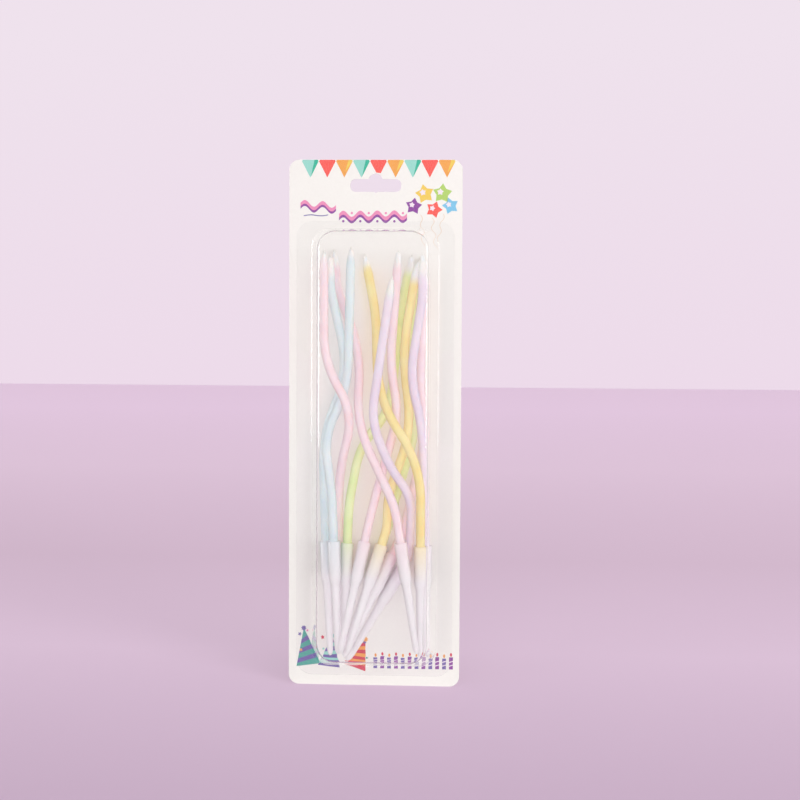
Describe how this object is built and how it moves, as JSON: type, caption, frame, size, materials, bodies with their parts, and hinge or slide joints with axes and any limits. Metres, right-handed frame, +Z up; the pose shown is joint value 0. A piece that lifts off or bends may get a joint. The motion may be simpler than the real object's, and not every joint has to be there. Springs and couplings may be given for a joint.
{
  "type": "blister pack of wavy birthday candles",
  "caption": "Hanging blister pack of slim wavy pastel birthday candles with white tips, each in a translucent cup holder with a spike, under a clear dome on a printed card.",
  "frame": {"origin": "top of the hump in the card's hang slot, on the card's centre line, in the plane of its front sealing face", "axes": "+Z up the card, +X to the right seen from the front, +Y through the card from its front to its back"},
  "size_m": [0.085, 0.019, 0.26],
  "materials": {
    "printed_card": "smooth coated white board",
    "clear_sheet": "clear thermoformed sheet, high gloss",
    "white_wax": "satin wax",
    "cotton_wick": "waxed cotton braid",
    "holder_plastic": "translucent white, soft gloss",
    "pink_wax": "satin wax",
    "blue_wax": "satin wax",
    "yellow_wax": "satin wax",
    "lavender_wax": "satin wax",
    "green_wax": "satin wax"
  },
  "bodies": {
    "pack": {"card": "printed_card", "pink_1_holder": "holder_plastic", "blue_1_holder": "holder_plastic", "blue_2_holder": "holder_plastic", "pink_2_holder": "holder_plastic", "yellow_1_holder": "holder_plastic", "lavender_1_holder": "holder_plastic", "pink_3_holder": "holder_plastic", "green_1_holder": "holder_plastic", "green_2_holder": "holder_plastic", "yellow_2_holder": "holder_plastic", "lavender_2_holder": "holder_plastic", "pink_4_holder": "holder_plastic"},
    "cover": {"blister": "clear_sheet"},
    "pink_1_candle": {"pink_1_wax": "pink_wax", "pink_1_tip": "white_wax", "pink_1_wick": "cotton_wick"},
    "blue_1_candle": {"blue_1_wax": "blue_wax", "blue_1_tip": "white_wax", "blue_1_wick": "cotton_wick"},
    "blue_2_candle": {"blue_2_wax": "blue_wax", "blue_2_tip": "white_wax", "blue_2_wick": "cotton_wick"},
    "pink_2_candle": {"pink_2_wax": "pink_wax", "pink_2_tip": "white_wax", "pink_2_wick": "cotton_wick"},
    "yellow_1_candle": {"yellow_1_wax": "yellow_wax", "yellow_1_tip": "white_wax", "yellow_1_wick": "cotton_wick"},
    "lavender_1_candle": {"lavender_1_wax": "lavender_wax", "lavender_1_tip": "white_wax", "lavender_1_wick": "cotton_wick"},
    "pink_3_candle": {"pink_3_wax": "pink_wax", "pink_3_tip": "white_wax", "pink_3_wick": "cotton_wick"},
    "green_1_candle": {"green_1_wax": "green_wax", "green_1_tip": "white_wax", "green_1_wick": "cotton_wick"},
    "green_2_candle": {"green_2_wax": "green_wax", "green_2_tip": "white_wax", "green_2_wick": "cotton_wick"},
    "yellow_2_candle": {"yellow_2_wax": "yellow_wax", "yellow_2_tip": "white_wax", "yellow_2_wick": "cotton_wick"},
    "lavender_2_candle": {"lavender_2_wax": "lavender_wax", "lavender_2_tip": "white_wax", "lavender_2_wick": "cotton_wick"},
    "pink_4_candle": {"pink_4_wax": "pink_wax", "pink_4_tip": "white_wax", "pink_4_wick": "cotton_wick"}
  },
  "joints": [
    {"name": "cover_lift", "type": "slide", "parent": "pack", "child": "cover", "axis": [0, -1, 0], "range_m": [0, 0.03]},
    {"name": "pink_1_rise", "type": "slide", "parent": "pack", "child": "pink_1_candle", "axis": [0.0015, -0.0419, 0.9991], "range_m": [0, 0.005]},
    {"name": "blue_1_rise", "type": "slide", "parent": "pack", "child": "blue_1_candle", "axis": [-0.0491, 0.0581, 0.9971], "range_m": [0, 0.005]},
    {"name": "blue_2_rise", "type": "slide", "parent": "pack", "child": "blue_2_candle", "axis": [-0.0365, -0.0212, 0.9991], "range_m": [0, 0.005]},
    {"name": "pink_2_rise", "type": "slide", "parent": "pack", "child": "pink_2_candle", "axis": [-0.1446, -0.0545, 0.988], "range_m": [0, 0.005]},
    {"name": "yellow_1_rise", "type": "slide", "parent": "pack", "child": "yellow_1_candle", "axis": [0.0022, -0.0843, 0.9964], "range_m": [0, 0.005]},
    {"name": "lavender_1_rise", "type": "slide", "parent": "pack", "child": "lavender_1_candle", "axis": [0.4952, -0.088, 0.8643], "range_m": [0, 0.005]},
    {"name": "pink_3_rise", "type": "slide", "parent": "pack", "child": "pink_3_candle", "axis": [0.2076, 0.0802, 0.9749], "range_m": [0, 0.005]},
    {"name": "green_1_rise", "type": "slide", "parent": "pack", "child": "green_1_candle", "axis": [0.0351, -0.0148, 0.9993], "range_m": [0, 0.005]},
    {"name": "green_2_rise", "type": "slide", "parent": "pack", "child": "green_2_candle", "axis": [0.3222, 0, 0.9467], "range_m": [0, 0.005]},
    {"name": "yellow_2_rise", "type": "slide", "parent": "pack", "child": "yellow_2_candle", "axis": [0.2944, 0.0619, 0.9537], "range_m": [0, 0.005]},
    {"name": "lavender_2_rise", "type": "slide", "parent": "pack", "child": "lavender_2_candle", "axis": [-0.0193, -0.075, 0.997], "range_m": [0, 0.005]},
    {"name": "pink_4_rise", "type": "slide", "parent": "pack", "child": "pink_4_candle", "axis": [0.4151, 0.1095, 0.9032], "range_m": [0, 0.005]}
  ]
}
